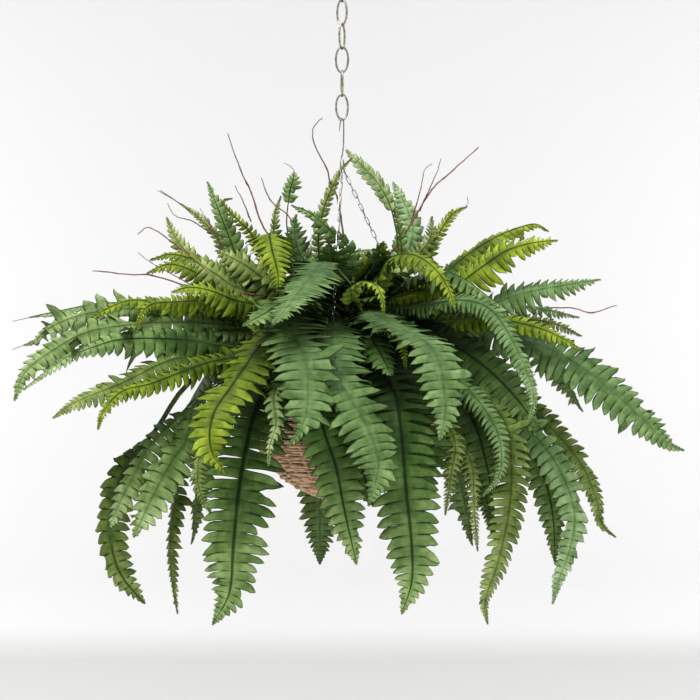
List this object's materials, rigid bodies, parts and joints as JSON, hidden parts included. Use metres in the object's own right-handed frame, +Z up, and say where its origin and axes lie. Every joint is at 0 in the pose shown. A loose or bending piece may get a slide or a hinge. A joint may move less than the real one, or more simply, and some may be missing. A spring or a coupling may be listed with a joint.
{
  "type": "hanging basket fern",
  "caption": "Full artificial Boston fern with arching toothed fronds and curly twigs in a woven twig basket, hung by thin chains from a wire hook, an oval-link chain and a ceiling hook.",
  "frame": {"origin": "centre of the ceiling plate's flat top face, on the line that the basket hangs on", "axes": "+Z up, out of the plate's top face into the ceiling; -Y towards the side that shows best; +X to its right"},
  "size_m": [0.9504, 0.6683, 0.9586],
  "materials": {
    "nickel": "antique nickel plate, worn bright on the edges, darker where links touch",
    "steel_wire": "zinc-plated steel wire, slightly dull",
    "wicker": "split twigs, brown with dark gaps, matt",
    "liner": "black plastic film",
    "foam": "dark green floral foam, open and matt",
    "moss": "dried green moss, matted",
    "stem": "dark green moulded plastic stems",
    "frond_dark": "printed leaf fabric, dark green, matt",
    "frond_green": "printed leaf fabric, mid green, matt",
    "frond_lime": "printed leaf fabric, yellow green, matt",
    "frond_olive": "printed leaf fabric, olive green, matt",
    "frond_sage": "printed leaf fabric, pale sage green, matt",
    "frond_blue": "printed leaf fabric, bluish green, matt",
    "twig": "red-brown curly twig, greyer at the tip"
  },
  "bodies": {
    "root": {"ceiling_plate": "nickel", "ceiling_hook": "nickel", "chain_link_1": "nickel", "chain_link_2": "nickel", "chain_link_3": "nickel", "chain_link_4": "nickel", "chain_link_5": "nickel", "chain_link_6": "nickel", "hanger_hook": "steel_wire", "thin_chain_1": "steel_wire", "thin_chain_2": "steel_wire", "thin_chain_3": "steel_wire", "basket_wall": "wicker", "basket_rim": "wicker", "basket_liner": "liner", "foam_block": "foam", "moss_layer": "moss", "fern_crown": "stem", "frond_left_level": "frond_dark", "frond_left_pale_upper": "frond_sage", "frond_left_pale_long": "frond_sage", "frond_left_olive": "frond_olive", "frond_left_lime": "frond_lime", "frond_left_curled": "frond_dark", "frond_left_sage": "frond_sage", "frond_left_edgewise": "frond_olive", "frond_front_lime": "frond_lime", "frond_front_left_dark": "frond_dark", "frond_front_mid": "frond_green", "frond_front_long": "frond_green", "frond_front_under": "frond_dark", "frond_front_dark": "frond_dark", "frond_front_top": "frond_green", "frond_front_right": "frond_green", "frond_right_blue": "frond_blue", "frond_right_olive": "frond_olive", "frond_right_hanging": "frond_olive", "frond_right_narrow": "frond_olive", "frond_right_long": "frond_dark", "frond_right_front": "frond_blue", "frond_right_rising": "frond_green", "frond_right_lime": "frond_lime", "frond_top_left": "frond_dark", "frond_top_middle": "frond_dark", "frond_top_front": "frond_lime", "frond_top_right": "frond_blue", "frond_back_right_long": "frond_green", "frond_back_right": "frond_dark", "frond_back_mid_right": "frond_green", "frond_back_mid": "frond_dark", "frond_back_mid_left": "frond_olive", "frond_back_left": "frond_dark", "twig_left_tall": "twig", "twig_middle": "twig", "twig_right_tall": "twig", "twig_left_low": "twig", "twig_left_middle": "twig", "twig_left_upper": "twig", "twig_right_low": "twig", "twig_back": "twig"}
  },
  "joints": []
}
